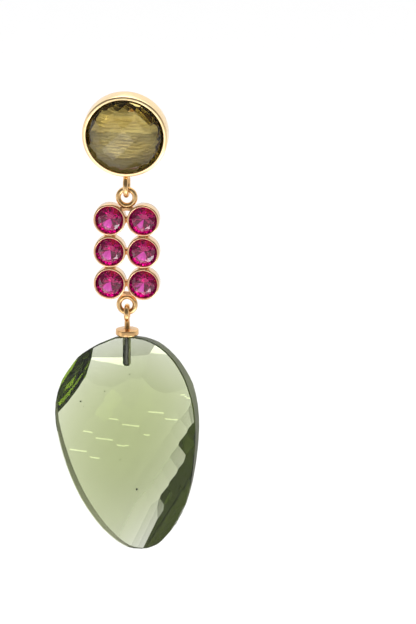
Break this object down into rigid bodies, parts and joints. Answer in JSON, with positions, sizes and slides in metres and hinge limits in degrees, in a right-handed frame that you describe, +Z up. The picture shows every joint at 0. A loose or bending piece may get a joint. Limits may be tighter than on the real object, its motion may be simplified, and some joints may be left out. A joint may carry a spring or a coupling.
{
  "type": "drop earring",
  "caption": "Post earring with a round stone stud, a swinging panel of small round stones and a large faceted drop.",
  "frame": {"origin": "on the post's axis at the flat back of the stud's cup, where it meets the ear lobe", "axes": "+Z up with the drop hanging, the earring faces -Y, the post points along +Y and slightly up, +X is to the right seen from the front"},
  "size_m": [0.0176, 0.0152, 0.0564],
  "materials": {
    "gold": "polished gold plating, slightly brushed",
    "olive_stone": "polished olive quartz",
    "fuchsia_stone": "polished fuchsia stone",
    "sage_stone": "polished sage green quartz"
  },
  "bodies": {
    "stud": {"stud_setting": "gold", "stud_stone": "olive_stone"},
    "nut": {"ear_nut": "gold"},
    "panel": {"panel_setting": "gold", "panel_stone_1": "fuchsia_stone", "panel_stone_2": "fuchsia_stone", "panel_stone_3": "fuchsia_stone", "panel_stone_4": "fuchsia_stone", "panel_stone_5": "fuchsia_stone", "panel_stone_6": "fuchsia_stone"},
    "drop": {"drop_peg": "gold", "drop_stone": "sage_stone"}
  },
  "joints": [
    {"name": "nut_slide", "type": "slide", "parent": "stud", "child": "nut", "axis": [0, 0.9903, 0.1392], "range_m": [-0.001, 0.0065]},
    {"name": "panel_swing", "type": "hinge", "parent": "stud", "child": "panel", "pos_m": [0, -0.00013, -0.00713], "axis": [1, 0, 0], "range_deg": [-80, 80]},
    {"name": "drop_swing", "type": "hinge", "parent": "panel", "child": "drop", "pos_m": [0, -0.00013, -0.02247], "axis": [1, 0, 0], "range_deg": [-80, 80]}
  ]
}
